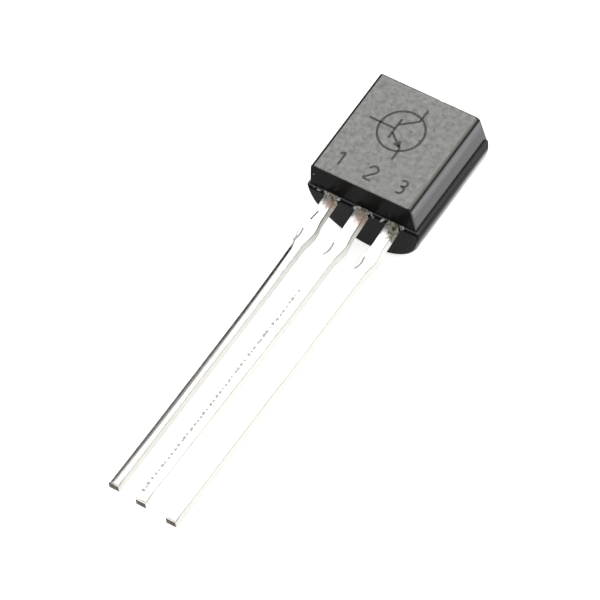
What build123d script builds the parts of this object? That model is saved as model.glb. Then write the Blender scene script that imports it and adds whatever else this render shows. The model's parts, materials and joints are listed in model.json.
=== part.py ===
from build123d import *
import os
from math import asin, atan2, cos, hypot, radians, sin, tan

# A TO-92 transistor: an epoxy body moulded round three stamped leads, a chip and two bond wires.
# It lies flat face up, on the heel of its rounded back and on the tips of its leads.
# All lengths are in millimetres and all angles in degrees.

# Moulded body
body_width = 4.58
body_height = 4.67
flat_width = 4.12
front_depth = 1.17
rear_land = 0.095
side_step = 0.1
lead_end_step = 0.115
top_end_step = 0.02
front_draft = 0.8
rear_draft = 3.6
flat_side_round = 0.16
front_edge_round = 0.04
rear_edge_round = 0.1

# Marks that the mould leaves on the body
ejector_diameter = 1.4
ejector_sink = 0.14
gate_width = 0.9
gate_thickness = 0.35
gate_proud = 0.08

# Leads, stamped from one strip of copper
lead_pitch = 1.27
lead_length = 13.85
lead_width = 0.45
lead_thickness = 0.38
neck_width = 0.46
tie_stub_width = 0.62
tie_stub_near = 1.2
tie_stub_far = 2.1
tie_stub_blend = 0.3
die_roll = 0.06
cut_slant = 6.5

# Inner ends of the leads
base_post_width = 0.8
base_post_height = 0.45
base_post_reach = 1.3
emitter_post_width = 0.7
emitter_post_height = 0.8
post_gap = 0.4
pad_cover = 0.9

# Chip, its solder and its bond wires
die_side = 0.5
die_thickness = 0.2
solder_margin = 0.03
solder_thickness = 0.025
bond_inset = 0.12
wire_diameter = 0.05
ball_diameter = 0.12
ball_height = 0.04
loop_rise = 0.3
loop_bend = 0.12

overrun = 0.5

# How the transistor comes to rest. The heel is the rounded lower edge of the back at the lead end,
# and the floor touches it and the lower corner of the longest lead.
rear_depth = body_width / 2 + rear_land
front_slope = tan(radians(front_draft))
rear_slope = tan(radians(rear_draft))
cut_slope = tan(radians(cut_slant))
longest_lead = lead_length + (lead_pitch + lead_width / 2) * cut_slope
heel_depth = rear_depth - rear_edge_round
heel_inset = rear_edge_round / cos(radians(rear_draft)) + heel_depth * rear_slope
tip_to_heel = longest_lead + heel_inset
heel_drop = heel_depth - lead_thickness
lie_angle = atan2(heel_drop, tip_to_heel) + asin(rear_edge_round / hypot(tip_to_heel, heel_drop))
rest_height = longest_lead * sin(lie_angle) + lead_thickness * cos(lie_angle)

# The middle of the whole length lies over the origin.
lead_reach = longest_lead * cos(lie_angle)
top_reach = (body_height - heel_inset) * cos(lie_angle) + heel_depth * sin(lie_angle) + rear_edge_round
exit_place = (lead_reach - top_reach) / 2

# The parting plane of the mould carries every other plane: x runs across the leads, y from the
# lead end of the body to its top, and z out of the flat face.
parting = Plane(
    origin=(0, exit_place, rest_height),
    x_dir=(1, 0, 0),
    z_dir=(0, -sin(lie_angle), cos(lie_angle)),
)
cross_section = Plane(parting.origin, x_dir=parting.x_dir, z_dir=-parting.y_dir)
side_view = Plane(parting.origin, x_dir=parting.y_dir, z_dir=parting.x_dir)
top_end = Plane(parting.from_local_coords((0, body_height, 0)), x_dir=parting.x_dir, z_dir=parting.y_dir)
shear_cut = Plane(
    parting.from_local_coords((0, -lead_length, 0)),
    x_dir=parting.z_dir,
    z_dir=parting.y_dir + parting.x_dir * cut_slope,
)
across = Axis(parting.origin, parting.x_dir)
along = Axis(parting.origin, parting.y_dir)
outward = Axis(parting.origin, parting.z_dir)

# Places of the inner pieces in the parting plane
pad_left = -lead_pitch - neck_width / 2
pad_right = lead_pitch - emitter_post_width / 2 - post_gap
pad_bottom = base_post_reach + post_gap
pad_top = body_height - pad_cover
pad_centre = ((pad_left + pad_right) / 2, (pad_bottom + pad_top) / 2)
base_post_centre = (0, base_post_reach - base_post_height / 2)
emitter_post_centre = (lead_pitch, pad_centre[1])
die_floor = solder_thickness
die_top = solder_thickness + die_thickness


def lead_strip(place, reach):
    """Outline of one lead: the shank, the bulge where the tie bar was cut off, and the neck."""
    bulge_middle = (tie_stub_near + tie_stub_far) / 2
    shank_end = -longest_lead - overrun
    with BuildSketch(Plane.XY) as strip:
        with BuildLine():
            for side in (-1, 1):
                Polyline(
                    (place, shank_end),
                    (place + side * lead_width / 2, shank_end),
                    (place + side * lead_width / 2, -tie_stub_far),
                )
                ThreePointArc(
                    (place + side * lead_width / 2, -tie_stub_far),
                    (place + side * tie_stub_width / 2, -bulge_middle),
                    (place + side * neck_width / 2, -tie_stub_near),
                )
                Polyline(
                    (place + side * neck_width / 2, -tie_stub_near),
                    (place + side * neck_width / 2, reach),
                    (place, reach),
                )
        make_face()
        bulge_span = (-tie_stub_far - tie_stub_blend, -tie_stub_near + tie_stub_blend)
        bulge_ends = strip.vertices().filter_by_position(Axis.Y, *bulge_span)
        fillet(bulge_ends, radius=tie_stub_blend)
    return strip.sketch


def rolled_edges(lead):
    """Outline of a lead's upper face, which the punch rolls over as it cuts the strip."""
    return lead.faces().sort_by(outward)[-1].edges()


with BuildPart() as collector_lead:
    with BuildSketch(parting):
        add(lead_strip(-lead_pitch, pad_top))
        with Locations(pad_centre):
            Rectangle(pad_right - pad_left, pad_top - pad_bottom)
    extrude(amount=-lead_thickness)
    split(bisect_by=shear_cut, keep=Keep.TOP)
    fillet(rolled_edges(collector_lead), radius=die_roll)

with BuildPart() as base_lead:
    with BuildSketch(parting):
        add(lead_strip(0, base_post_reach))
        with Locations(base_post_centre):
            Rectangle(base_post_width, base_post_height)
    extrude(amount=-lead_thickness)
    split(bisect_by=shear_cut, keep=Keep.TOP)
    fillet(rolled_edges(base_lead), radius=die_roll)

with BuildPart() as emitter_lead:
    with BuildSketch(parting):
        add(lead_strip(lead_pitch, emitter_post_centre[1]))
        with Locations(emitter_post_centre):
            Rectangle(emitter_post_width, emitter_post_height)
    extrude(amount=-lead_thickness)
    split(bisect_by=shear_cut, keep=Keep.TOP)
    fillet(rolled_edges(emitter_lead), radius=die_roll)

with BuildPart() as die_attach:
    with BuildSketch(parting):
        with Locations(pad_centre):
            Rectangle(die_side + 2 * solder_margin, die_side + 2 * solder_margin)
    extrude(amount=solder_thickness)

with BuildPart() as silicon_die:
    with BuildSketch(parting.offset(die_floor)):
        with Locations(pad_centre):
            Rectangle(die_side, die_side)
    extrude(amount=die_thickness)


def bond_wire(bond, post):
    """A gold wire that rises from its ball on the chip, bends over and runs down to its post."""
    start = parting.from_local_coords((*bond, 0))
    finish = parting.from_local_coords((*post, 0))
    span = (finish - start).length
    upright = Plane(start, x_dir=finish - start, z_dir=(finish - start).cross(parting.z_dir))
    run_slope = (die_top + loop_rise) / span
    with BuildPart() as wire:
        with BuildLine(upright) as route:
            FilletPolyline(
                (0, die_top),
                (0, die_top + loop_rise),
                (span + wire_diameter, -wire_diameter * run_slope),
                radius=loop_bend,
            )
        with BuildSketch(Plane(route.line @ 0, z_dir=route.line % 0)):
            Circle(wire_diameter / 2)
        sweep(path=route.line)
        with BuildSketch(Plane(route.line @ 0, z_dir=parting.z_dir)):
            Circle(ball_diameter / 2)
        extrude(amount=ball_height)
        split(bisect_by=parting, keep=Keep.TOP)
    return wire


base_bond = (pad_centre[0], pad_centre[1] - bond_inset)
emitter_bond = (pad_centre[0] + bond_inset, pad_centre[1])
base_bond_wire = bond_wire(base_bond, base_post_centre)
emitter_bond_wire = bond_wire(emitter_bond, emitter_post_centre)

inner_pieces = {
    "collector_lead": collector_lead,
    "base_lead": base_lead,
    "emitter_lead": emitter_lead,
    "die_attach": die_attach,
    "silicon_die": silicon_die,
    "base_bond_wire": base_bond_wire,
    "emitter_bond_wire": emitter_bond_wire,
}

with BuildPart() as moulded_body:
    # The D shaped section, with a step where the two halves of the mould meet
    step_half = body_width / 2 - side_step
    with BuildSketch(cross_section):
        with BuildLine():
            Polyline(
                (-body_width / 2, -rear_land),
                (-body_width / 2, 0),
                (-step_half, 0),
                (-flat_width / 2, front_depth),
                (flat_width / 2, front_depth),
                (step_half, 0),
                (body_width / 2, 0),
                (body_width / 2, -rear_land),
            )
            ThreePointArc((body_width / 2, -rear_land), (0, -rear_depth), (-body_width / 2, -rear_land))
        make_face()
    extrude(amount=-body_height)
    # The ends lean in from the parting plane, so that the body leaves the mould
    front_lean = (front_depth + overrun) * front_slope
    rear_lean = (rear_depth + overrun) * rear_slope
    with BuildSketch(side_view):
        with BuildLine():
            Polyline(
                (0, 0),
                (lead_end_step, 0),
                (lead_end_step + front_lean, front_depth + overrun),
                (body_height - top_end_step - front_lean, front_depth + overrun),
                (body_height - top_end_step, 0),
                (body_height, 0),
                (body_height - rear_lean, -rear_depth - overrun),
                (rear_lean, -rear_depth - overrun),
                close=True,
            )
        make_face()
    extrude(amount=body_width, both=True, mode=Mode.INTERSECT)
    # Rounded edges: the back's ends, the flat's long sides, then its ends with their corners
    fillet(moulded_body.edges().filter_by(GeomType.ELLIPSE), radius=rear_edge_round)
    flat_face = moulded_body.faces().sort_by(outward)[-1]
    fillet(flat_face.edges().filter_by(along), radius=flat_side_round)
    flat_face = moulded_body.faces().sort_by(outward)[-1]
    fillet(flat_face.edges().filter_by(across), radius=front_edge_round)
    # Broken gate on the top end and the round print of the ejector pin on the back
    with BuildSketch(top_end.offset(-gate_thickness)):
        with Locations((0, gate_thickness / 2)):
            Rectangle(gate_width, gate_thickness)
    extrude(amount=gate_thickness + gate_proud)
    with BuildSketch(parting.offset(ejector_sink - rear_depth)):
        with Locations((0, body_height / 2)):
            Circle(ejector_diameter / 2)
    extrude(amount=-ejector_sink - overrun, mode=Mode.SUBTRACT)
    # The epoxy flows round everything that it seals in
    for piece in inner_pieces.values():
        add(piece.part, mode=Mode.SUBTRACT)

os.makedirs("parts", exist_ok=True)
for name, piece in {"moulded_body": moulded_body, **inner_pieces}.items():
    piece.part.label = name
    export_step(piece.part, f"parts/{name}.step")
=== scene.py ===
# %% [markdown]
# A small transistor in a TO-92 case: a black epoxy body moulded round three tinned copper leads.
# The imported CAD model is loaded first, because it fixes where everything is. Every Blender piece is
# then modelled in the transistor's own axes, in millimetres, and moved on to the frame at the end.

# %% Load the frame
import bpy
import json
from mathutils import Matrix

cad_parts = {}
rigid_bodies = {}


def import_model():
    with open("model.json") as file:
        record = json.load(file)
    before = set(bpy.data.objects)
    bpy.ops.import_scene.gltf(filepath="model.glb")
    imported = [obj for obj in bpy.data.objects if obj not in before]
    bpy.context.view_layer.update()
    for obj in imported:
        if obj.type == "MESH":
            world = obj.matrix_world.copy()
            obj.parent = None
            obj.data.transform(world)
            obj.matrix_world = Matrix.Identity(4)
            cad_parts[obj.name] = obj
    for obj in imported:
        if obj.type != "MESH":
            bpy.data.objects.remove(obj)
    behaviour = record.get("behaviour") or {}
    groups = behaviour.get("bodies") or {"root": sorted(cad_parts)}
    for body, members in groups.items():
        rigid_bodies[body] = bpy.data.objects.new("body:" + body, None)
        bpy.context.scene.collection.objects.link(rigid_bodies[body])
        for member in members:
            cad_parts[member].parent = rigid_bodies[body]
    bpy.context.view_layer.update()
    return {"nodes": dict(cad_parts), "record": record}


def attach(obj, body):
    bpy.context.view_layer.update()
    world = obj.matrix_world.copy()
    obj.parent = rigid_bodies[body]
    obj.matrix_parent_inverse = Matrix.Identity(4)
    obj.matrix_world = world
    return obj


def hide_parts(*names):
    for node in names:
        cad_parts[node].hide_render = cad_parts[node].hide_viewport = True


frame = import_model()

import json
import math
import random
import bmesh
import bpy
from mathutils import Matrix, Vector

scene = bpy.context.scene
random.seed(92)
print("CAD nodes:", sorted(frame["nodes"]))

# %% [markdown]
# The record of the CAD model says which way the flat face looks and which way the leads point. With
# those two directions the transistor's own axes are known: x across the leads, y from the lead tips
# to the top of the body, and z out of the flat face. The origin is where the middle lead comes out
# of the body, on the plane where the two halves of the mould met.

# %% The transistor's own axes
mm = 0.001
lead_length = 13.85
lead_thickness = 0.38

mounts = {mount["name"]: mount for mount in frame["record"]["mounts"]}
along = -Vector(mounts["lead_row"]["axis"]).normalized()
outward = Vector(mounts["flat_front"]["axis"]).normalized()
across = along.cross(outward)
tips = Vector(mounts["lead_row"]["pos_m"])
exit_place = tips + along * lead_length * mm + outward * lead_thickness / 2 * mm
lie_angle = math.asin(along.z)
turned = Matrix((across, along, outward)).transposed().to_4x4()
own_axes = Matrix.Translation(exit_place) @ turned @ Matrix.Scale(mm, 4)
print(f"lies at {math.degrees(lie_angle):.2f} degrees, leads leave at {tuple(exit_place)}")

# %% [markdown]
# A material is a small graph of nodes. One function adds a node with its settings and its links, and
# another turns the sRGB colour codes that a colour picker shows into the linear values that Blender
# mixes. A third starts a material and gives it coordinates in the transistor's own millimetres, so
# that every pattern can be drawn at its real size and at its real place.

# %% Helpers for materials
def colour(code):
    """Turns an sRGB hex code into a linear colour."""
    channels = [int(code[i:i + 2], 16) / 255 for i in (0, 2, 4)]
    linear = [c / 12.92 if c <= 0.04045 else ((c + 0.055) / 1.055) ** 2.4 for c in channels]
    return (*linear, 1.0)


def add_node(tree, kind, inputs, **settings):
    """Adds a shader node and gives its first output. An input is a value, or a socket to link."""
    made = tree.nodes.new("ShaderNode" + kind)
    for name, value in settings.items():
        setattr(made, name, value)
    for name, value in inputs.items():
        if isinstance(value, bpy.types.NodeSocket):
            tree.links.new(value, made.inputs[name])
        else:
            made.inputs[name].default_value = value
    return made.outputs[0]


def start_material(name):
    """A new material, its node tree, its shader, and a place in the transistor's millimetres."""
    material = bpy.data.materials.new(name)
    material.use_nodes = True
    tree = material.node_tree
    points = add_node(tree, "TexCoord", {}).node.outputs["Object"]
    place = add_node(tree, "Mapping", {
        "Vector": points, "Location": exit_place, "Rotation": (lie_angle, 0, 0),
        "Scale": (mm, mm, mm)}, vector_type="TEXTURE")
    return material, tree, tree.nodes["Principled BSDF"].inputs, place


print("mid grey in linear light:", [round(value, 3) for value in colour("808080")[:3]])

# %% [markdown]
# The body is black epoxy, filled with fine silica and pressed hot into a steel mould. The
# steel decides the finish: its floor was spark eroded, so the flat is matt and a little hazy, while
# the walls were ground along the body and came out glossier. One material can hold all of that, if
# masks made from the place on the body say which finish is where. A mask is one Map Range node that
# grows from 0 to 1 between two places.

# %% Moulded black epoxy: where each finish is
front_depth = 1.17
front_middle = 2.38

epoxy, tree, shader, place = start_material("moulded_black_epoxy")
axes = add_node(tree, "SeparateXYZ", {"Vector": place}).node.outputs
beside = add_node(tree, "Math", {0: axes["X"]}, operation="ABSOLUTE")
height = add_node(tree, "Math", {0: axes["Z"]}, operation="ABSOLUTE")
from_middle = add_node(tree, "Math", {0: axes["Y"], 1: front_middle}, operation="SUBTRACT")
from_middle = add_node(tree, "Math", {0: from_middle}, operation="ABSOLUTE")

masks = {}
for name, value, start, end in (
        ("flat", axes["Z"], front_depth - 0.006, front_depth - 0.001),
        ("flat_edge_band", axes["Z"], front_depth - 0.045, front_depth - 0.004),
        ("rounded_edge", axes["Z"], 1.02, 1.05),
        ("painted_sheen_strip", axes["Z"], 0.62, 0.86),
        ("above_step", axes["Z"], -0.04, -0.01),
        ("ledge", height, 0.02, 0.004),
        ("side_walls", beside, 2.02, 2.07),
        ("right_side", axes["X"], 1.8, 1.9),
        ("off_ends", from_middle, 2.2, 2.16)):
    masks[name] = add_node(tree, "MapRange", {"Value": value, "From Min": start, "From Max": end})

walls = masks["side_walls"]
for factor in (masks["off_ends"], masks["above_step"]):
    walls = add_node(tree, "Math", {0: walls, 1: factor}, operation="MULTIPLY")
# the right edge of the flat is painted a lighter grey
lighter_right_edge = masks["flat_edge_band"]
for factor in (masks["right_side"], masks["off_ends"]):
    lighter_right_edge = add_node(tree, "Math", {0: lighter_right_edge, 1: factor}, operation="MULTIPLY")
print("epoxy masks:", sorted(masks))

# %% [markdown]
# The silica shows as a soft grey mottle, and a few grains have torn out and left pits. The ground
# walls have streaks along the body and, next to the flat, a lighter strip that is a painted reflection.
# The ledge where the mould parted lies in shade and is painted grey as painted light, and the right
# edge of the flat is painted a lighter grey.
# The finishes are laid over one another like coats of paint, each through its own mask.

# %% Moulded black epoxy: colour
mottle_size = 0.2
pit_spacing = 0.5
pit_rim, pit_floor = 0.035, 0.02
streak_size = (0.5, 4.0, 0.07)

mottle = add_node(tree, "TexNoise", {
    "Vector": place, "Scale": 1 / mottle_size, "Detail": 5.0, "Roughness": 0.65})
pits = add_node(tree, "TexVoronoi", {"Vector": place, "Scale": 1 / pit_spacing})
pits = add_node(tree, "MapRange", {
    "Value": pits, "From Min": pit_rim / pit_spacing, "From Max": pit_floor / pit_spacing})
stretched = add_node(tree, "Mapping", {
    "Vector": place, "Scale": [1 / size for size in streak_size]})
streaks = add_node(tree, "TexNoise", {"Vector": stretched, "Scale": 1.0, "Detail": 3.0})
streaks = add_node(tree, "MapRange", {"Value": streaks, "From Min": 0.35, "From Max": 0.65})

wall_colour = add_node(tree, "MixRGB", {
    "Fac": streaks, "Color1": colour("101012"), "Color2": colour("323236")})
# painted reflection: a lighter, streaky strip on the walls next to the flat
painted_sheen_colour = add_node(tree, "MixRGB", {
    "Fac": streaks, "Color1": colour("3a3a3e"), "Color2": colour("66666a")})
for mask, coat in (
        (masks["painted_sheen_strip"], painted_sheen_colour),
        (masks["rounded_edge"], colour("2c2c2b"))):
    wall_colour = add_node(tree, "MixRGB", {"Fac": mask, "Color1": wall_colour, "Color2": coat})
flat_colour = add_node(tree, "MixRGB", {
    "Fac": mottle, "Color1": colour("0e0f0b"), "Color2": colour("5d5f55")})
flat_colour = add_node(tree, "MixRGB", {
    "Fac": pits, "Color1": flat_colour, "Color2": colour("0c0c0b")})
skin = colour("121212")
for mask, coat in (
        (walls, wall_colour),
        # painted light: the ledge lies in shade and is painted a lighter grey
        (masks["ledge"], colour("58585a")),
        (lighter_right_edge, colour("7e7f79")),
        (masks["flat"], flat_colour)):
    skin = add_node(tree, "MixRGB", {"Fac": mask, "Color1": skin, "Color2": coat})
tree.links.new(skin, shader["Base Color"])
print("epoxy colour:", len(tree.nodes), "nodes")

# %% [markdown]
# Roughness follows the same patterns as the colour: the lighter mottle is a little smoother, and the
# pits are dull. A fine bump breaks up the shine. Its grain is drawn at 0.07 mm, because the real
# silica is a few hundredths of a millimetre and would not show in the picture.

# %% Moulded black epoxy: roughness and grain
grain_size = 0.07
grain_depth = 0.002
pit_dullness = 0.3

gloss = add_node(tree, "MapRange", {"Value": streaks, "To Min": 0.1, "To Max": 0.18})
matt = add_node(tree, "MapRange", {
    "Value": mottle, "From Min": 0.36, "From Max": 0.64, "To Min": 0.31, "To Max": 0.23})
matt = add_node(tree, "Math", {0: pits, 1: pit_dullness, 2: matt}, operation="MULTIPLY_ADD")
roughness = add_node(tree, "MixRGB", {"Fac": masks["flat"], "Color1": gloss, "Color2": matt})
tree.links.new(roughness, shader["Roughness"])
grain = add_node(tree, "TexNoise", {"Vector": place, "Scale": 1 / grain_size, "Detail": 2.0})
grain = add_node(tree, "Bump", {
    "Height": grain, "Strength": 0.25, "Distance": grain_depth * mm})
tree.links.new(grain, shader["Normal"])
shader["IOR"].default_value = 1.5
print("moulded black epoxy:", len(tree.nodes), "nodes")

# %% [markdown]
# The mould is waxed so that the part lets go of it, and some wax stays on the ends of the body and
# on the rim of the back, where it takes away the shine. The shader's Specular IOR Level says how
# much a surface mirrors. It has to be one number for a whole material, or the exported model loses
# it, so the wax that thins out down the back is made in four steps, each a copy of the epoxy.

# %% Waxed epoxy
body_finishes = [epoxy]
for level in (0.015, 0.05, 0.12, 0.25):
    waxed = epoxy.copy()
    waxed.name = f"waxed_black_epoxy_{len(body_finishes)}"
    waxed.node_tree.nodes["Principled BSDF"].inputs["Specular IOR Level"].default_value = level
    body_finishes.append(waxed)
print("body finishes:", [finish.name for finish in body_finishes])

# %% [markdown]
# The leads are copper, dipped in tin after the body was moulded. Tin gives a nearly white metal, and
# the drawn strip below it leaves lines along the lead that show as changes of gloss. They are drawn
# 0.05 mm apart, because the real ones are finer than a pixel. A wrapped coordinate gives every lead
# the same place across itself, and taking its slight bend out of it lets a pattern follow an edge.

# %% Tin plated copper: patterns of the metal
lead_pitch = 1.27
near_bend = 0.065
bend_start = -5.0
usual_tip_bend = -0.03
line_size = (0.05, 2.5, 0.05)
blotch_size = 0.16

tin, tree, shader, place = start_material("tin_plated_copper")
axes = add_node(tree, "SeparateXYZ", {"Vector": place}).node.outputs
own_x = add_node(tree, "Math", {
    0: axes["X"], 1: lead_pitch / 2, 2: -lead_pitch / 2}, operation="WRAP")
bend = add_node(tree, "MapRange", {
    "Value": axes["Y"], "From Min": bend_start, "From Max": -lead_length,
    "To Min": near_bend, "To Max": usual_tip_bend})
straight_x = add_node(tree, "Math", {0: own_x, 1: bend}, operation="SUBTRACT")
stretched = add_node(tree, "Mapping", {
    "Vector": place, "Scale": [1 / size for size in line_size]})
drawn = add_node(tree, "TexNoise", {"Vector": stretched, "Scale": 1.0, "Detail": 3.0})
drawn = add_node(tree, "MapRange", {"Value": drawn, "From Min": 0.35, "From Max": 0.7})
blotches = add_node(tree, "TexNoise", {
    "Vector": place, "Scale": 1 / blotch_size, "Detail": 4.0, "Roughness": 0.7})
print("tin patterns:", len(tree.nodes), "nodes")

# %% [markdown]
# Close to the body the dip doesn't reach everywhere. A film of resin covers the plating, on the third
# lead as a thick crust, and on the other two bare copper shows on the right. Near the body the sides
# are painted white, a painted reflection. Further out the right side of every lead is painted duller as
# painted shade, and a dark band, a painted reflection, runs along the left of the first lead. Each of
# these is again a mask, or a product of masks.

# %% Tin plated copper: what covers it and where
crust_reach = 0.4
ragged_film = 0.9
ragged_side_reflection = 1.2

masks = {}
for name, value, start, end in (
        ("near_body", axes["Y"], -0.75, -0.1),
        ("right_half", own_x, -0.06, 0.1),
        ("blotched", blotches, 0.4, 0.5),
        ("sides", axes["Z"], -0.04, -0.07),
        ("shaded_right_side", straight_x, 0.17, 0.22),
        ("left_half", straight_x, -0.02, -0.06),
        ("off_left_edge", straight_x, -0.21, -0.18),
        ("off_tip", axes["Y"], -13.75, -13.6),
        ("off_tie_bar", axes["Y"], -2.3, -2.55),
        ("towards_tip", axes["Y"], -9.0, -13.5)):
    masks[name] = add_node(tree, "MapRange", {"Value": value, "From Min": start, "From Max": end})
first_lead = add_node(tree, "Math", {0: axes["X"], 1: -lead_pitch / 2}, operation="LESS_THAN")
third_lead = add_node(tree, "Math", {0: axes["X"], 1: lead_pitch / 2}, operation="GREATER_THAN")
other_leads = add_node(tree, "Math", {0: 1.0, 1: third_lead}, operation="SUBTRACT")
uneven = add_node(tree, "MapRange", {
    "Value": blotches, "From Min": 0.35, "From Max": 0.5, "To Min": 0.8})

bare = masks["blotched"]
for factor in (masks["near_body"], masks["right_half"], other_leads):
    bare = add_node(tree, "Math", {0: bare, 1: factor}, operation="MULTIPLY")
# painted reflection: a dark band along the left of the first lead, lighter towards its tip
dark_reflection_band = first_lead
for factor in (
        masks["left_half"], masks["off_left_edge"], masks["off_tip"], masks["off_tie_bar"], uneven):
    dark_reflection_band = add_node(tree, "Math", {0: dark_reflection_band, 1: factor}, operation="MULTIPLY")
crusted = add_node(tree, "Math", {0: third_lead, 1: masks["right_half"]}, operation="MULTIPLY")
film = add_node(tree, "Math", {0: crusted, 1: crust_reach, 2: axes["Y"]}, operation="MULTIPLY_ADD")
film = add_node(tree, "Math", {0: blotches, 1: ragged_film, 2: film}, operation="MULTIPLY_ADD")
film = add_node(tree, "MapRange", {"Value": film, "From Min": 0.3, "From Max": 0.42})
# painted reflection: the lead sides near the body are painted white, as if mirroring a bright floor
painted_side_reflection = add_node(tree, "Math", {0: blotches, 1: ragged_side_reflection, 2: axes["Y"]}, operation="MULTIPLY_ADD")
painted_side_reflection = add_node(tree, "MapRange", {"Value": painted_side_reflection, "From Min": -0.9, "From Max": -0.6})
painted_side_reflection = add_node(tree, "Math", {0: painted_side_reflection, 1: masks["sides"]}, operation="MULTIPLY")
print("tin masks:", sorted(masks))

# %% [markdown]
# Now the coats go over the tin: the real ones in the order in which they came, and the painted shade
# and reflections among them. Copper is dulled by its oxide, and resin and the white paint on the sides
# are no metals, so the metallic value drops wherever one of them lies.

# %% Tin plated copper: colour and polish
crust_size = 0.15
line_depth = 0.004
film_dullness = 0.15

crust = add_node(tree, "TexNoise", {"Vector": place, "Scale": 1 / crust_size, "Detail": 3.0})
crust = add_node(tree, "MapRange", {"Value": crust, "From Min": 0.4, "From Max": 0.6})
crust = add_node(tree, "MixRGB", {
    "Fac": crust, "Color1": colour("3d3d30"), "Color2": colour("b6b19e")})
# colour of the painted dark reflection band
dark_reflection_colour = add_node(tree, "MixRGB", {
    "Fac": masks["towards_tip"], "Color1": colour("2c2926"), "Color2": colour("5c5850")})
metal = add_node(tree, "MixRGB", {
    "Fac": drawn, "Color1": colour("f4f2ee"), "Color2": colour("dedbd5")})
for mask, coat in (
        # painted shade: the right side of every lead is painted a duller grey
        (masks["shaded_right_side"], colour("d3d2cd")),
        (dark_reflection_band, dark_reflection_colour),
        (painted_side_reflection, colour("f6f4ef")),
        (bare, colour("c9957a")),
        (film, crust)):
    metal = add_node(tree, "MixRGB", {"Fac": mask, "Color1": metal, "Color2": coat})
tree.links.new(metal, shader["Base Color"])

polish = add_node(tree, "MapRange", {"Value": drawn, "To Min": 0.36, "To Max": 0.48})
polish = add_node(tree, "Math", {0: film, 1: film_dullness, 2: polish}, operation="MULTIPLY_ADD")
tree.links.new(polish, shader["Roughness"])
ripple = add_node(tree, "Bump", {"Height": drawn, "Strength": 0.3, "Distance": line_depth * mm})
tree.links.new(ripple, shader["Normal"])
covered = add_node(tree, "Math", {0: film, 1: bare}, operation="MAXIMUM")
covered = add_node(tree, "Math", {0: covered, 1: painted_side_reflection}, operation="MAXIMUM")
metallic = add_node(tree, "Math", {0: 1.0, 1: covered}, operation="SUBTRACT")
tree.links.new(metallic, shader["Metallic"])
print("tin plated copper:", len(tree.nodes), "nodes")

# %% [markdown]
# Most other finishes wander between two colours in a cloud of a certain size, so one function makes
# them all. Where a blade sheared the leads to length the copper is a dark brown grey with lines down
# the cut: the metal and the lines are real, and the darkness is painted shade for the shaded floor that
# the cut ends face. Resin that leaked out of the mould dried as pale flakes. The laser that marks the
# flat scorches the epoxy to a dull brown.

# %% Sheared copper, resin flash and scorched epoxy
def two_tone_finish(name, codes, size, stretch=(1, 1, 1), contrast=(0, 1), detail=2.0, **constants):
    """A finish that wanders between two colours. Other shader inputs are constants."""
    material, tree, shader, place = start_material(name)
    stretched = add_node(tree, "Mapping", {
        "Vector": place, "Scale": [1 / (size * factor) for factor in stretch]})
    cloud = add_node(tree, "TexNoise", {"Vector": stretched, "Scale": 1.0, "Detail": detail})
    cloud = add_node(tree, "MapRange", {
        "Value": cloud, "From Min": contrast[0], "From Max": contrast[1]})
    mixed = add_node(tree, "MixRGB", {
        "Fac": cloud, "Color1": colour(codes[0]), "Color2": colour(codes[1])})
    tree.links.new(mixed, shader["Base Color"])
    for socket, value in constants.items():
        shader[socket].default_value = value
    return material


# painted shade: the cut ends are darker than their metal
sheared = two_tone_finish("sheared_copper_painted_shade", ("2e2a27", "665c54"), 0.04,
                          stretch=(1, 5, 6.25), detail=3.0, Roughness=0.42, Metallic=1.0)
flash = two_tone_finish("dried_resin_flash", ("4f4f46", "dadad2"), 0.1,
                        contrast=(0.38, 0.6), detail=3.0, Roughness=0.5, IOR=1.55)
scorched = two_tone_finish("laser_scorched_epoxy", ("1d1a17", "423c35"), 0.06,
                           detail=3.0, Roughness=0.5, IOR=1.5)
print("finishes:", [finish.name for finish in (sheared, flash, scorched)])

# %% [markdown]
# The chip, its solder and its bond wires stay as the CAD made them, sealed in the epoxy. They still
# get their real finishes, because someone may cut the model open: polished silicon that glints grey
# blue under its thin coat of nitride, dull grainy solder, and gold that was drawn to a bright wire.
# The CAD leads and body get the finish of the pieces that stand for them further down.

# %% Finishes of the CAD nodes
silicon = two_tone_finish("polished_silicon", ("4c5058", "767b86"), 0.05, Roughness=0.15, IOR=2.0)
solder = two_tone_finish("soft_solder", ("8f9092", "c4c4c6"), 0.04, Roughness=0.4, Metallic=1.0)
gold = two_tone_finish("drawn_gold_wire", ("e5b54f", "f7d487"), 0.03, Roughness=0.22, Metallic=1.0)
finishes = {"moulded_body": epoxy, "silicon_die": silicon, "die_attach": solder,
            "base_bond_wire": gold, "emitter_bond_wire": gold}
for name, node in frame["nodes"].items():
    node.data.materials.clear()
    node.data.materials.append(finishes.get(name, tin))
print("CAD nodes finished:", len(frame["nodes"]))

# %% [markdown]
# The rear half of the body is a half cylinder with a short straight land. One vertex is spun through
# half a turn, the section is closed and filled, and then it is extruded along the body. Both ends
# lean in by a few degrees, as the draft of the mould asks.

# %% Rear half of the body
body_width = 4.58
body_height = 4.67
rear_land = 0.095
rear_slope = math.tan(math.radians(3.6))


def new_verts(result):
    """The vertices among what an operator made."""
    return [item for item in result["geom"] if isinstance(item, bmesh.types.BMVert)]


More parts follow.
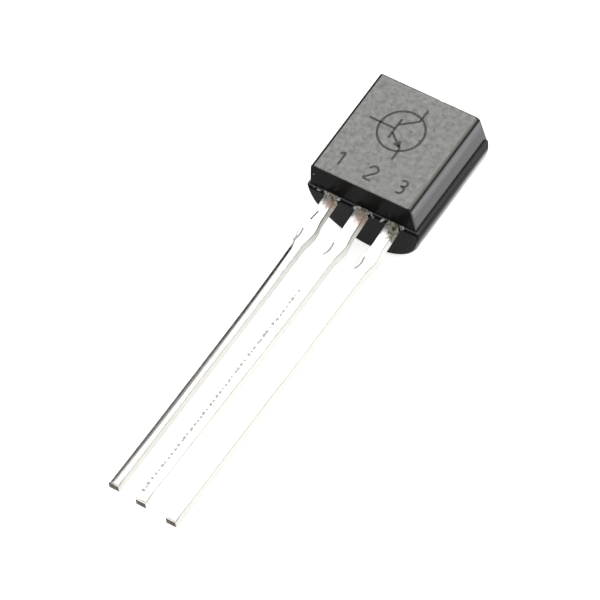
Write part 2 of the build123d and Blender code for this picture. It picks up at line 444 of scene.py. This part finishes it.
body = bmesh.new()
first = body.verts.new((body_width / 2, 0, -rear_land))
half_turn = bmesh.ops.spin(body, geom=[first], cent=(0, 0, -rear_land), axis=(0, 1, 0),
                           angle=math.pi, steps=64)
last = half_turn["geom_last"][0]
rim = bmesh.ops.extrude_vert_indiv(body, verts=[first, last])["verts"]
bmesh.ops.translate(body, verts=rim, vec=(0, 0, rear_land))
bmesh.ops.contextual_create(body, geom=rim)
bmesh.ops.contextual_create(body, geom=body.edges[:])
far_end = new_verts(bmesh.ops.extrude_face_region(body, geom=body.faces[:]))
bmesh.ops.translate(body, verts=far_end, vec=(0, body_height, 0))
for vert in body.verts:
    lean = -vert.co.z * rear_slope
    vert.co.y += lean if vert.co.y < body_height / 2 else -lean
print("rear half:", len(body.verts), "vertices")

# %% [markdown]
# The front half stands on the rear half, a small step inside its rim, because two mould halves never
# meet quite edge to edge. Inset gives the step, extrude the height, and scale the draft of the walls.

# %% Front half of the body
flat_width = 4.12
side_step = 0.1
lead_end_step = 0.115
top_end_step = 0.02
front_slope = math.tan(math.radians(0.8))

top = max(body.faces, key=lambda face: face.calc_center_median().z)
bmesh.ops.inset_region(body, faces=[top], thickness=side_step, use_even_offset=True)
for vert in top.verts:
    vert.co.y = lead_end_step if vert.co.y < body_height / 2 else body_height - top_end_step
flat_rim = new_verts(bmesh.ops.extrude_face_region(body, geom=[top]))
bmesh.ops.delete(body, geom=[top], context="FACES_ONLY")
bmesh.ops.translate(body, verts=flat_rim, vec=(0, 0, front_depth))
step_width = body_width - 2 * side_step
step_height = body_height - lead_end_step - top_end_step
taper = (flat_width / step_width, 1 - 2 * front_depth * front_slope / step_height, 1)
middle = Matrix.Translation((0, -lead_end_step - step_height / 2, 0))
bmesh.ops.scale(body, verts=flat_rim, vec=taper, space=middle)
body.normal_update()
print("flat face:", [flat_width, round(step_height * taper[1], 3)], "mm")

# %% [markdown]
# Each edge of the mould has its own radius. The long sides of the flat are the roundest, which gives
# the dark line beside the flat, and the ends are crisp. The rims of the back are bevelled last. A cut
# across the body near each end keeps the shading of the corners from running along the sides.

# %% Rounded edges of the body
flat_side_round = 0.16
front_edge_round = 0.04
rear_edge_round = 0.1
support_loops = (0.2, body_height - 0.1)
above_ledge = 0.1
smallest_end = 1.0
facing_end = 0.9


def round_edges(bm, edges, radius, segments):
    """Rounds edges to a radius. The bevel's offset is measured along the faces beside the edge."""
    turn = max(edge.calc_face_angle() for edge in edges)
    bmesh.ops.bevel(bm, geom=edges, offset=radius * math.tan(turn / 2), offset_type="OFFSET",
                    affect="EDGES", segments=segments, profile=0.5, material=-1)


flat_sides = [edge for edge in body.edges
              if min(vert.co.z for vert in edge.verts) > front_depth / 2
              and abs(edge.verts[0].co.y - edge.verts[1].co.y) > body_height / 2]
round_edges(body, flat_sides, flat_side_round, 5)
for upper, radius, segments in ((True, front_edge_round, 3), (False, rear_edge_round, 4)):
    ends = [face for face in body.faces
            if abs(face.normal.y) > facing_end and face.calc_area() > smallest_end
            and (face.calc_center_median().z > 0) == upper]
    outline = {edge for face in ends for edge in face.edges
               if max(abs(vert.co.z) for vert in edge.verts) > 0}
    round_edges(body, list(outline), radius, segments)
for y in support_loops:
    front = [face for face in body.faces if face.calc_center_median().z > above_ledge]
    sides = {edge for face in front for edge in face.edges}
    bmesh.ops.bisect_plane(body, geom=front + list(sides), plane_co=(0, y, 0), plane_no=(0, 1, 0))
bmesh.ops.recalc_face_normals(body, faces=body.faces)
print("rounded body:", len(body.faces), "faces, open edges:",
      sum(not edge.is_manifold for edge in body.edges))

# %% [markdown]
# Two marks are cut into the finished body. An ejector pin pushed the part out of the mould and left
# a round print on the back, and a knock broke a small chip out of the flat's top edge. A Boolean
# modifier takes away a cylinder for the first, and for the second two lumpy balls, one by one.

# %% Ejector print and chipped edge
def cut_away(kept, tool):
    """Cuts one closed bmesh out of another, and gives what is left."""
    things = []
    for source in (kept, tool):
        mesh = bpy.data.meshes.new("cut")
        source.to_mesh(mesh)
        source.free()
        things.append(bpy.data.objects.new("cut", mesh))
        scene.collection.objects.link(things[-1])
    boolean = things[0].modifiers.new("cut", "BOOLEAN")
    boolean.object = things[1]
    boolean.operation = "DIFFERENCE"
    left = bmesh.new()
    left.from_object(things[0], bpy.context.evaluated_depsgraph_get())
    for thing in things:
        bpy.data.meshes.remove(thing.data)
    return left


ejector_radius = 0.7
ejector_sink = 0.14
pin_length = 1.0
chip_balls = ((0.44, 4.65, 1.19, 0.09), (0.54, 4.655, 1.18, 0.07))
chip_lumps = 0.012

pin_middle = -body_width / 2 - rear_land + ejector_sink - pin_length / 2
pin = bmesh.new()
bmesh.ops.create_cone(pin, cap_ends=True, segments=64, radius1=ejector_radius, radius2=ejector_radius,
                      depth=pin_length, matrix=Matrix.Translation((0, body_height / 2, pin_middle)))
body = cut_away(body, pin)
for x, y, z, radius in chip_balls:
    ball = bmesh.new()
    bmesh.ops.create_icosphere(ball, subdivisions=2, radius=radius,
                               matrix=Matrix.Translation((x, y, z)))
    for vert in ball.verts:
        vert.co += Vector([random.uniform(-chip_lumps, chip_lumps) for _ in range(3)])
    body = cut_away(body, ball)
body.normal_update()
print("body with its marks:", len(body.faces), "faces")

# %% [markdown]
# Every piece is finished in the same way: its normals are made to point outwards, it is moved from
# the transistor's axes to the frame, and its faces are shaded smooth between sharp edges. An edge
# with a bevel weight is rounded by a Bevel modifier, which lets each edge have a radius of its own.
# Weighted normals then keep the flat faces flat next to their rounded edges.

# %% Finishing a piece
sharp_angle = math.radians(40)


def finish_piece(name, bm, materials, stands_for=None, widest_round=0):
    """Turns a bmesh in the transistor's axes into an object that rides on the frame."""
    bmesh.ops.recalc_face_normals(bm, faces=bm.faces)
    weight = bm.edges.layers.float.get("bevel_weight_edge")
    for edge in bm.edges:
        rounded = weight is not None and edge[weight] > 0
        edge.smooth = rounded or edge.calc_face_angle(math.pi) < sharp_angle
    bmesh.ops.transform(bm, matrix=own_axes, verts=bm.verts)
    mesh = bpy.data.meshes.new(name)
    bm.to_mesh(mesh)
    bm.free()
    for material in materials:
        mesh.materials.append(material)
    mesh.polygons.foreach_set("use_smooth", [True] * len(mesh.polygons))
    piece = bpy.data.objects.new(name, mesh)
    scene.collection.objects.link(piece)
    if widest_round:
        rounding = piece.modifiers.new("rolled_edges", "BEVEL")
        rounding.width = widest_round * mm
        rounding.segments = 6
        rounding.limit_method = "WEIGHT"
        rounding.use_clamp_overlap = False
        rounding.material = 0
    piece.modifiers.new("even_faces", "WEIGHTED_NORMAL").keep_sharp = True
    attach(piece, "root")
    if stands_for:
        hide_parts(stands_for)
    print(f"{name}: {len(mesh.polygons)} faces")


print("edges stay sharp from", round(math.degrees(sharp_angle)), "degrees")

# %% [markdown]
# A mesh can carry several materials, and each face has the number of the one that it takes. Faces
# that look along the leads are the waxed ends. Down the back, each face counts how many of the
# wax's edges lie above it and takes the finish with that much wax left.

# %% Waxed faces of the body
wax_edges = (-0.3, -0.42, -0.54, -0.66)
for face in body.faces:
    level = face.calc_center_median().z
    bare_steps = sum(level < edge for edge in wax_edges)
    if abs(face.normal.y) > facing_end:
        face.material_index = 1
    elif level < front_edge_round and bare_steps < len(wax_edges):
        face.material_index = 1 + bare_steps
    else:
        face.material_index = 0
finish_piece("epoxy_body", body, body_finishes, "moulded_body")

# %% [markdown]
# The liquid resin came in through a gate in the middle of the top end, and the stub of that gate was
# broken off. A box with a few cuts is enough: its outer face is pushed in and out a little, as a
# brittle break is, and its other edges are softened.

# %% Broken gate on the top end
gate_width = 0.9
gate_thickness = 0.35
gate_proud = 0.075
gate_root = 0.2
gate_round = 0.02
break_zone = 0.03
break_depth = 0.035

gate = bmesh.new()
bmesh.ops.create_cube(gate, size=1.0)
bmesh.ops.scale(gate, verts=gate.verts, vec=(gate_width, gate_proud + gate_root, gate_thickness))
bmesh.ops.translate(gate, verts=gate.verts, vec=(
    0, body_height + (gate_proud - gate_root) / 2, -gate_thickness / 2))
round_edges(gate, gate.edges[:], gate_round, 2)
bmesh.ops.subdivide_edges(gate, edges=gate.edges[:], cuts=5, use_grid_fill=True)
for vert in gate.verts:
    if vert.co.y > body_height + gate_proud - break_zone:
        vert.co.y -= random.uniform(0, break_depth)
finish_piece("broken_gate", gate, [epoxy])

# %% [markdown]
# A lead is stamped from a strip of copper: a long shank, a bulge where the tie bar between the leads
# was cut away, and a neck that widens inside the body to carry the chip or a bond wire. The upper
# face grows from one edge at the tip, extruded from station to station. Each lead bends aside by
# about a tenth of a millimetre at most, as handled leads do, and the stations carry that bend. The
# leads were cut along one slanting line, but each single end is nearly square.

# %% Outline of a lead
cut_slope = math.tan(math.radians(6.5))
end_slope = math.tan(math.radians(1.8))
shank_half = 0.225
neck_half = 0.23
bulge_half = 0.31
bulge_middle = -1.65
bulge_reach = 0.65
neck_ends = (-0.5, -0.1)
bend_run = 1.15

shank_stations = [-13.3 + 0.6 * i for i in range(19)]
bulge_stations = [bulge_middle + bulge_reach * (i / 6 - 1) for i in range(13)]


def half_width(y):
    """Half of a lead's width, which swells smoothly where the tie bar was."""
    plain = shank_half if y < bulge_middle else neck_half
    off_middle = min(1, abs(y - bulge_middle) / bulge_reach)
    return plain + (bulge_half - plain) * math.cos(math.pi / 2 * off_middle) ** 2


def sideways(y, tip_bend):
    """How far a lead bends aside on its way from the body to its tip."""
    if y > bulge_middle - shank_half:
        return near_bend * max(0, min(1, (neck_ends[1] - y) / bend_run))
    return near_bend + (tip_bend - near_bend) * max(0, (bend_start - y) / (lead_length + bend_start))


def lead_outline(place, inner, tip_bend):
    """The upper face of a lead. The inner stations give y, left half and right half."""
    outer = [(y, half_width(y), half_width(y)) for y in (*shank_stations, *bulge_stations, *neck_ends)]
    lead = bmesh.new()
    tip_x = place + tip_bend
    tip_y = -lead_length - tip_x * cut_slope
    edge = lead.edges.new([lead.verts.new((tip_x + half, tip_y - half * end_slope, 0))
                           for half in (-shank_half, shank_half)])
    for y, left, right in outer + inner:
        grown = bmesh.ops.extrude_edge_only(lead, edges=[edge])["geom"]
        edge = next(item for item in grown if isinstance(item, bmesh.types.BMEdge)
                    and all(vert in grown for vert in item.verts))
        near, far = sorted(edge.verts, key=lambda vert: vert.co.x)
        aside = place + sideways(y, tip_bend)
        near.co = (aside - left, y, 0)
        far.co = (aside + right, y, 0)
    return lead


print("stations along a lead:", len(shank_stations) + len(bulge_stations) + len(neck_ends))

# %% [markdown]
# A second extrude gives the outline its thickness. The punch rolls the upper edges over, and no two
# leads alike, so each edge gets a bevel weight: the left edge of the first lead is the roundest, and
# every tip is rolled by the blade. The cut ends get the sheared copper, painted dark as shade.

# %% Thickness and rolled edges of a lead
widest_roll = 0.35
tip_roll = 0.08
faded_roll = 0.04
plain_roll = 0.03
tip_corner = 0.02
burr = 0.015
broad_stretch = (-13.4, -2.45)
crease = math.radians(45)
tip_zone = 0.3


def left_roll(place, y):
    """Roll of a left edge. The first lead's is broad, but not at its tip and its tie bar."""
    if place < 0:
        return widest_roll if broad_stretch[0] < y < broad_stretch[1] else faded_roll
    return plain_roll


def stamped_lead(place, inner, tip_bend):
    """A lead at its place across the row, with the edges that the punch and the blade rolled."""
    lead = lead_outline(place, inner, tip_bend)
    under = new_verts(bmesh.ops.extrude_face_region(lead, geom=lead.faces[:]))
    bmesh.ops.translate(lead, verts=under, vec=(0, 0, -lead_thickness))
    bmesh.ops.recalc_face_normals(lead, faces=lead.faces)
    weight = lead.edges.layers.float.new("bevel_weight_edge")
    for edge in lead.edges:
        if edge.calc_face_angle() < crease:
            continue
        middle = (edge.verts[0].co + edge.verts[1].co) / 2
        at_tip = middle.y < -lead_length + tip_zone and abs(middle.x - place) < shank_half / 2
        radius = left_roll(place, middle.y) if middle.x < place else plain_roll
        if middle.z < -lead_thickness / 4:
            radius = tip_corner if middle.z > -lead_thickness * 3 / 4 else burr
        elif at_tip:
            radius = tip_roll
        edge[weight] = radius / widest_roll
    for face in lead.faces:
        cut_end = face.normal.y < -facing_end and face.calc_center_median().y < bulge_middle
        face.material_index = 1 if cut_end else 0
    return lead


print("roundest edge of a lead:", widest_roll, "mm, sharpest:", burr, "mm")

# %% [markdown]
# Outside the body the leads are the same stamping three times. Inside it they differ: the first ends
# in the wide pad that carries the chip, and the other two end in small posts for the bond wires. The
# Bevel modifier rounds every edge by its weight, as a share of the widest roll.

# %% Leads
post_step = 0.02


def inner_end(start, end, left, right):
    """Stations of a lead inside the body: the neck up to a step, then a pad or a post."""
    return [(start, neck_half, neck_half), (start + post_step, left, right), (end, left, right)]


tip_bends = {"collector_lead": -0.02, "base_lead": -0.09, "emitter_lead": -0.03}
for node, place, inner in (
        ("collector_lead", -lead_pitch, inner_end(1.68, 3.75, neck_half, 1.79)),
        ("base_lead", 0, inner_end(0.83, 1.3, 0.4, 0.4)),
        ("emitter_lead", lead_pitch, inner_end(2.305, 3.125, 0.35, 0.35))):
    lead = stamped_lead(place, inner, tip_bends[node])
    finish_piece("tinned_" + node, lead, [tin, sheared], node, widest_roll)

# %% [markdown]
# The marks are drawn as a pen would draw them. A stroke starts as one short edge across the pen's
# heading: extrude and translate make a straight run of it, and spin makes a bend. Afterwards all
# strokes are thickened together, so that they are closed and lie a hair above the surface.

# %% A pen for marks
degrees_a_step = 9


def draw_stroke(bm, start, heading, moves, width):
    """Draws one stroke. Each move is a run, then a turn in degrees at a radius. A full turn ends it."""
    pen = Vector(start)
    turned = Matrix.Rotation(math.radians(heading), 3, "Z")
    sides = [pen + turned @ Vector((0, half, 0)) for half in (width / 2, -width / 2)]
    edge = bm.edges.new([bm.verts.new(side) for side in sides])
    for run, bend, radius in moves:
        if run:
            grown = bmesh.ops.extrude_edge_only(bm, edges=[edge])["geom"]
            edge = next(item for item in grown if isinstance(item, bmesh.types.BMEdge)
                        and all(vert in grown for vert in item.verts))
            step = turned @ Vector((run, 0, 0))
            bmesh.ops.translate(bm, verts=edge.verts[:], vec=step)
            pen = pen + step
        if bend:
            centre = pen + turned @ Vector((0, math.copysign(radius, bend), 0))
            closed = abs(bend) == 360
            spun = bmesh.ops.spin(bm, geom=[edge], cent=centre, axis=(0, 0, 1),
                                  angle=math.radians(bend), use_merge=closed,
                                  steps=max(3, int(abs(bend) / degrees_a_step)))
            if closed:
                break
            edge = next(item for item in spun["geom_last"] if isinstance(item, bmesh.types.BMEdge))
            swing = Matrix.Rotation(math.radians(bend), 3, "Z")
            pen = centre + swing @ (pen - centre)
            turned = swing @ turned


def thicken_strokes(bm, height):
    """Closes the strokes: doubles are merged, and every face gets the same thickness."""
    bmesh.ops.remove_doubles(bm, verts=bm.verts, dist=0.0005)
    raised = new_verts(bmesh.ops.extrude_face_region(bm, geom=bm.faces[:]))
    bmesh.ops.translate(bm, verts=raised, vec=(0, 0, height))


print("steps in a full turn of the pen:", 360 // degrees_a_step)

# %% [markdown]
# The flat carries a plain mark: the general circuit symbol of a transistor, and the numbers of the
# leads, each in line with its lead. The symbol is a circle, a bar, the base's line to the bar, and
# two slanting arms that end in short leads, one of them with an arrow.

# %% Laser mark on the flat
laser_width = 0.085
mark_sunk = 0.004
mark_height = 0.008
symbol_x, symbol_y = -0.05, 2.85
circle_radius = 0.85
bar_x = symbol_x - 0.25
bar_half = 0.45
base_run = 1.05
arm_off = 0.18
arm_angle, arm_run, arm_bend = 38, 0.74, 0.06
outer_run = 0.5
arrow_x, arrow_y = symbol_x + 0.3, symbol_y - 0.61
barb_angle, barb_run = 26, 0.26
number_y = 0.62
numbers = (
    (-lead_pitch, [(-0.12, 0.42, 45, (0.13, -135, 0.04), (0.5, 0, 0))]),
    (0, [(-0.15, 0.38, 90, (0, -225, 0.16), (0.38, 135, 0.04), (0.24, 0, 0))]),
    (lead_pitch, [(-0.14, 0.45, 60, (0, -240, 0.13), (0.05, 0, 0)),
                  (-0.08, 0.258, 0, (0.04, -210, 0.15))]))
mark = bmesh.new()


def laser(x, y, heading, *moves):
    """One stroke of the laser on the flat."""
    draw_stroke(mark, (x, y, front_depth - mark_sunk), heading, moves, laser_width)


laser(symbol_x + circle_radius, symbol_y, 90, (0, 360, circle_radius))
laser(bar_x, symbol_y - bar_half, 90, (2 * bar_half, 0, 0))
laser(bar_x - base_run, symbol_y, 0, (base_run, 0, 0))
for side in (1, -1):
    laser(bar_x, symbol_y + side * arm_off, side * arm_angle,
          (arm_run, side * (90 - arm_angle), arm_bend), (outer_run, 0, 0))
for side in (-1, 1):
    laser(arrow_x, arrow_y, 180 - arm_angle + side * barb_angle, (barb_run, 0, 0))
for place, strokes in numbers:
    for x, y, heading, *moves in strokes:
        laser(place + x, number_y + y, heading, *moves)
thicken_strokes(mark, mark_height)
finish_piece("laser_mark", mark, [scorched])

# %% [markdown]
# Each lead's upper face has a thin grey crescent beside the bulge, painted shade of the side that
# narrows there. A row of uneven grey nicks runs down the left of the middle lead. The first lead has
# a scratch near the body, painted black as the shade in its groove. Crescents and scratch are strokes
# of the same pen, and each nick is a small stretched disc.

# %% Nicks, scratch and painted crescent shade on the leads
lead_mark_sunk = 0.003
lead_mark_height = 0.006
crescent_x, crescent_y, crescent_width = -0.12, -1.58, 0.09
crescent_heading, crescent_bow = -74, (0.08, -42, 0.75)
nick_count, nick_start, nick_step, nick_x = 50, -3.9, 0.195, -0.13
scratch_x, scratch_y, scratch_width = -0.03, -0.74, 0.065
scratch_heading, scratch_run = -98, 0.42

# painted shade: black for the groove of the scratch
scratch_shade = two_tone_finish("black_scratch_shade", ("1a1715", "4a423b"), 0.05, Roughness=0.6)
# painted shade: grey for the crescents, and the nicks take the same grey
grey_nicks_and_shade = two_tone_finish("grey_nicks_and_painted_shade", ("9b9a95", "cdccc7"), 0.05, Roughness=0.6)
nicks_and_crescents = bmesh.new()
# painted shade: a grey crescent beside each bulge, where the side narrows
for place in (-lead_pitch, 0, lead_pitch):
    draw_stroke(nicks_and_crescents, (place + crescent_x, crescent_y, -lead_mark_sunk), crescent_heading,
                [crescent_bow], crescent_width)
for i in range(nick_count):
    y = nick_start - nick_step * i + random.uniform(-0.05, 0.05)
    x = sideways(y, tip_bends["base_lead"]) + nick_x + random.uniform(-0.012, 0.012)
    stretch = Matrix.Diagonal((random.uniform(0.7, 1.0), random.uniform(0.8, 1.5), 1, 1))
    bmesh.ops.create_circle(nicks_and_crescents, cap_ends=True, segments=9, radius=random.uniform(0.052, 0.07),
                            matrix=Matrix.Translation((x, y, -lead_mark_sunk)) @ stretch)
thicken_strokes(nicks_and_crescents, lead_mark_height)
finish_piece("grey_nicks_and_crescent_shade", nicks_and_crescents, [grey_nicks_and_shade])

# painted shade: the scratch is black for the shade in its groove
scratch = bmesh.new()
draw_stroke(scratch, (scratch_x - lead_pitch, scratch_y, -lead_mark_sunk), scratch_heading,
            [(scratch_run, 0, 0)], scratch_width)
thicken_strokes(scratch, lead_mark_height)
finish_piece("lead_scratch", scratch, [scratch_shade])

# %% [markdown]
# Resin leaks out between the mould and the leads and dries as thin flakes on the ledge, most of them
# beside the leads and a few at the ledge's left end. Each flake starts as a disc of few corners that
# are pushed about, laid on the ledge and thickened. Beside the middle lead one flake has curled up,
# and that one is an edge spun through part of a turn. A last crumb, a small ball, sticks to the lead
# end of the front half.

# %% Resin flash round the leads
flake_height = 0.012
flake_level = 0.005
curl_near, curl_far = Vector((0.36, 0.0, 0.01)), Vector((0.52, -0.1, 0.01))
curl_centre = Vector((0.36, 0.0, 0.07))
curl_turn = math.radians(200)
crumb_place, crumb_radius = (-1.96, 0.12, 0.7), 0.03

flakes = bmesh.new()
spots = []
for _ in range(6):
    spots.append((-2.1 + random.uniform(0, 0.7), random.uniform(0.0, 0.05), random.uniform(0.02, 0.05)))
for place in (-lead_pitch, 0, lead_pitch):
    for side in (-1, -1, -1, -1, 1, 1, 1, 1):
        spots.append((place + side * random.uniform(0.12, 0.42), random.uniform(-0.04, 0.08),
                      random.uniform(0.025, 0.07)))
for x, y, size in spots:
    disc = bmesh.ops.create_circle(flakes, cap_ends=True, segments=7, radius=size)["verts"]
    for vert in disc:
        vert.co.x *= random.uniform(0.7, 1.7)
        vert.co.y *= random.uniform(0.5, 1.1)
    lean = Matrix.Rotation(random.uniform(-0.25, 0.25), 4, "X")
    lean = lean @ Matrix.Rotation(random.uniform(0, math.pi), 4, "Z")
    bmesh.ops.transform(flakes, matrix=Matrix.Translation((x, y, flake_level)) @ lean, verts=disc)
thicken_strokes(flakes, flake_height)

flat_flakes = set(flakes.faces)
curl_start = flakes.edges.new([flakes.verts.new(curl_near), flakes.verts.new(curl_far)])
bmesh.ops.spin(flakes, geom=[curl_start], cent=curl_centre, axis=curl_far - curl_near,
               angle=curl_turn, steps=8)
curl = [face for face in flakes.faces if face not in flat_flakes]
bmesh.ops.solidify(flakes, geom=curl, thickness=flake_height)
bmesh.ops.create_icosphere(flakes, subdivisions=1, radius=crumb_radius,
                           matrix=Matrix.Translation(crumb_place))
finish_piece("resin_flash", flakes, [flash])

# %% [markdown]
# The camera repeats the photograph's view: from above, from the right and from the lead end, with a
# long lens, because the edges of the body stay nearly parallel in the picture.

# %% Camera
azimuth = math.radians(35.271)
elevation = math.radians(47.893)
roll = math.radians(-2.524)
aim = Vector((-0.2627, 1.0072, 0.8876)) * mm
distance = 400 * mm
view_turn = Matrix.Rotation(azimuth, 4, "Z") @ Matrix.Rotation(math.pi / 2 - elevation, 4, "X")
view_turn = view_turn @ Matrix.Rotation(roll, 4, "Z")
camera_data = bpy.data.cameras.new("camera")
camera_data.lens = 696.79
camera_data.sensor_width = 36.0
camera_data.clip_start = 10 * mm
camera = bpy.data.objects.new("camera", camera_data)
camera.matrix_world = Matrix.Translation(aim) @ view_turn @ Matrix.Translation((0, 0, distance))
scene.collection.objects.link(camera)
scene.camera = camera
print("camera at", [round(value, 3) for value in camera.matrix_world.translation])

# %% [markdown]
# The part lies on a light table: a sheet of white acrylic that is lit from below, so that shadows on
# it stay pale. A grid of one face is enough for it, and a little emission stands for the glow.

# %% Floor
floor_size = 400 * mm
floor_glow = {"Emission Color": colour("ffffff"), "Emission Strength": 0.66}

sheet = bmesh.new()
bmesh.ops.create_grid(sheet, x_segments=1, y_segments=1, size=floor_size)
floor_mesh = bpy.data.meshes.new("floor")
sheet.to_mesh(floor_mesh)
sheet.free()
floor = bpy.data.objects.new("floor", floor_mesh)
scene.collection.objects.link(floor)
floor_mesh.materials.append(
    two_tone_finish("white_acrylic", ("f0f0ee", "f5f5f3"), 0.4, Roughness=0.9, **floor_glow))
print("floor laid")

# %% [markdown]
# Five soft lamps light the part. The key stands where the flat mirrors it to the camera, which turns
# the black flat grey. The overhead lamp whitens the rounded tips of the leads, the back lamp grazes
# the right wall, and two large dim lamps fill the shadows from the right and from the lead end. The
# world adds a little light from all round. A lamp's distance and size are in metres.

# %% Lights
def softbox(name, direction, away, size, radiance):
    """A lamp that looks at the transistor from a direction, with an even brightness."""
    data = bpy.data.lights.new(name, "AREA")
    data.shape = "RECTANGLE"
    data.size, data.size_y = size
    data.energy = radiance * math.pi * data.size * data.size_y
    lamp = bpy.data.objects.new(name, data)
    pointing = Vector(direction).normalized()
    facing = pointing.to_track_quat("Z", "Y").to_matrix().to_4x4()
    lamp.matrix_world = Matrix.Translation(pointing * away) @ facing
    scene.collection.objects.link(lamp)
    print(f"{name}: {data.energy:.4f} W")


softbox("key", (-0.378, 0.332, 0.864), 0.15, (0.05, 0.05), 7.8)
softbox("overhead", (-0.385, -0.3, 0.87), 0.15, (0.05, 0.09), 5.0)
softbox("back", (0.34, 0.735, 0.587), 0.15, (0.075, 0.06), 11.5)
softbox("fill_right", (0.8, -0.1, 0.5), 0.2, (0.25, 0.2), 0.35)
softbox("fill_front", (0.2, -0.85, 0.45), 0.2, (0.25, 0.2), 0.5)
world = bpy.data.worlds.new("studio")
world.use_nodes = True
background = world.node_tree.nodes["Background"].inputs
background["Color"].default_value = colour("ffffff")
background["Strength"].default_value = 0.1
scene.world = world
scene.view_settings.view_transform = "Standard"
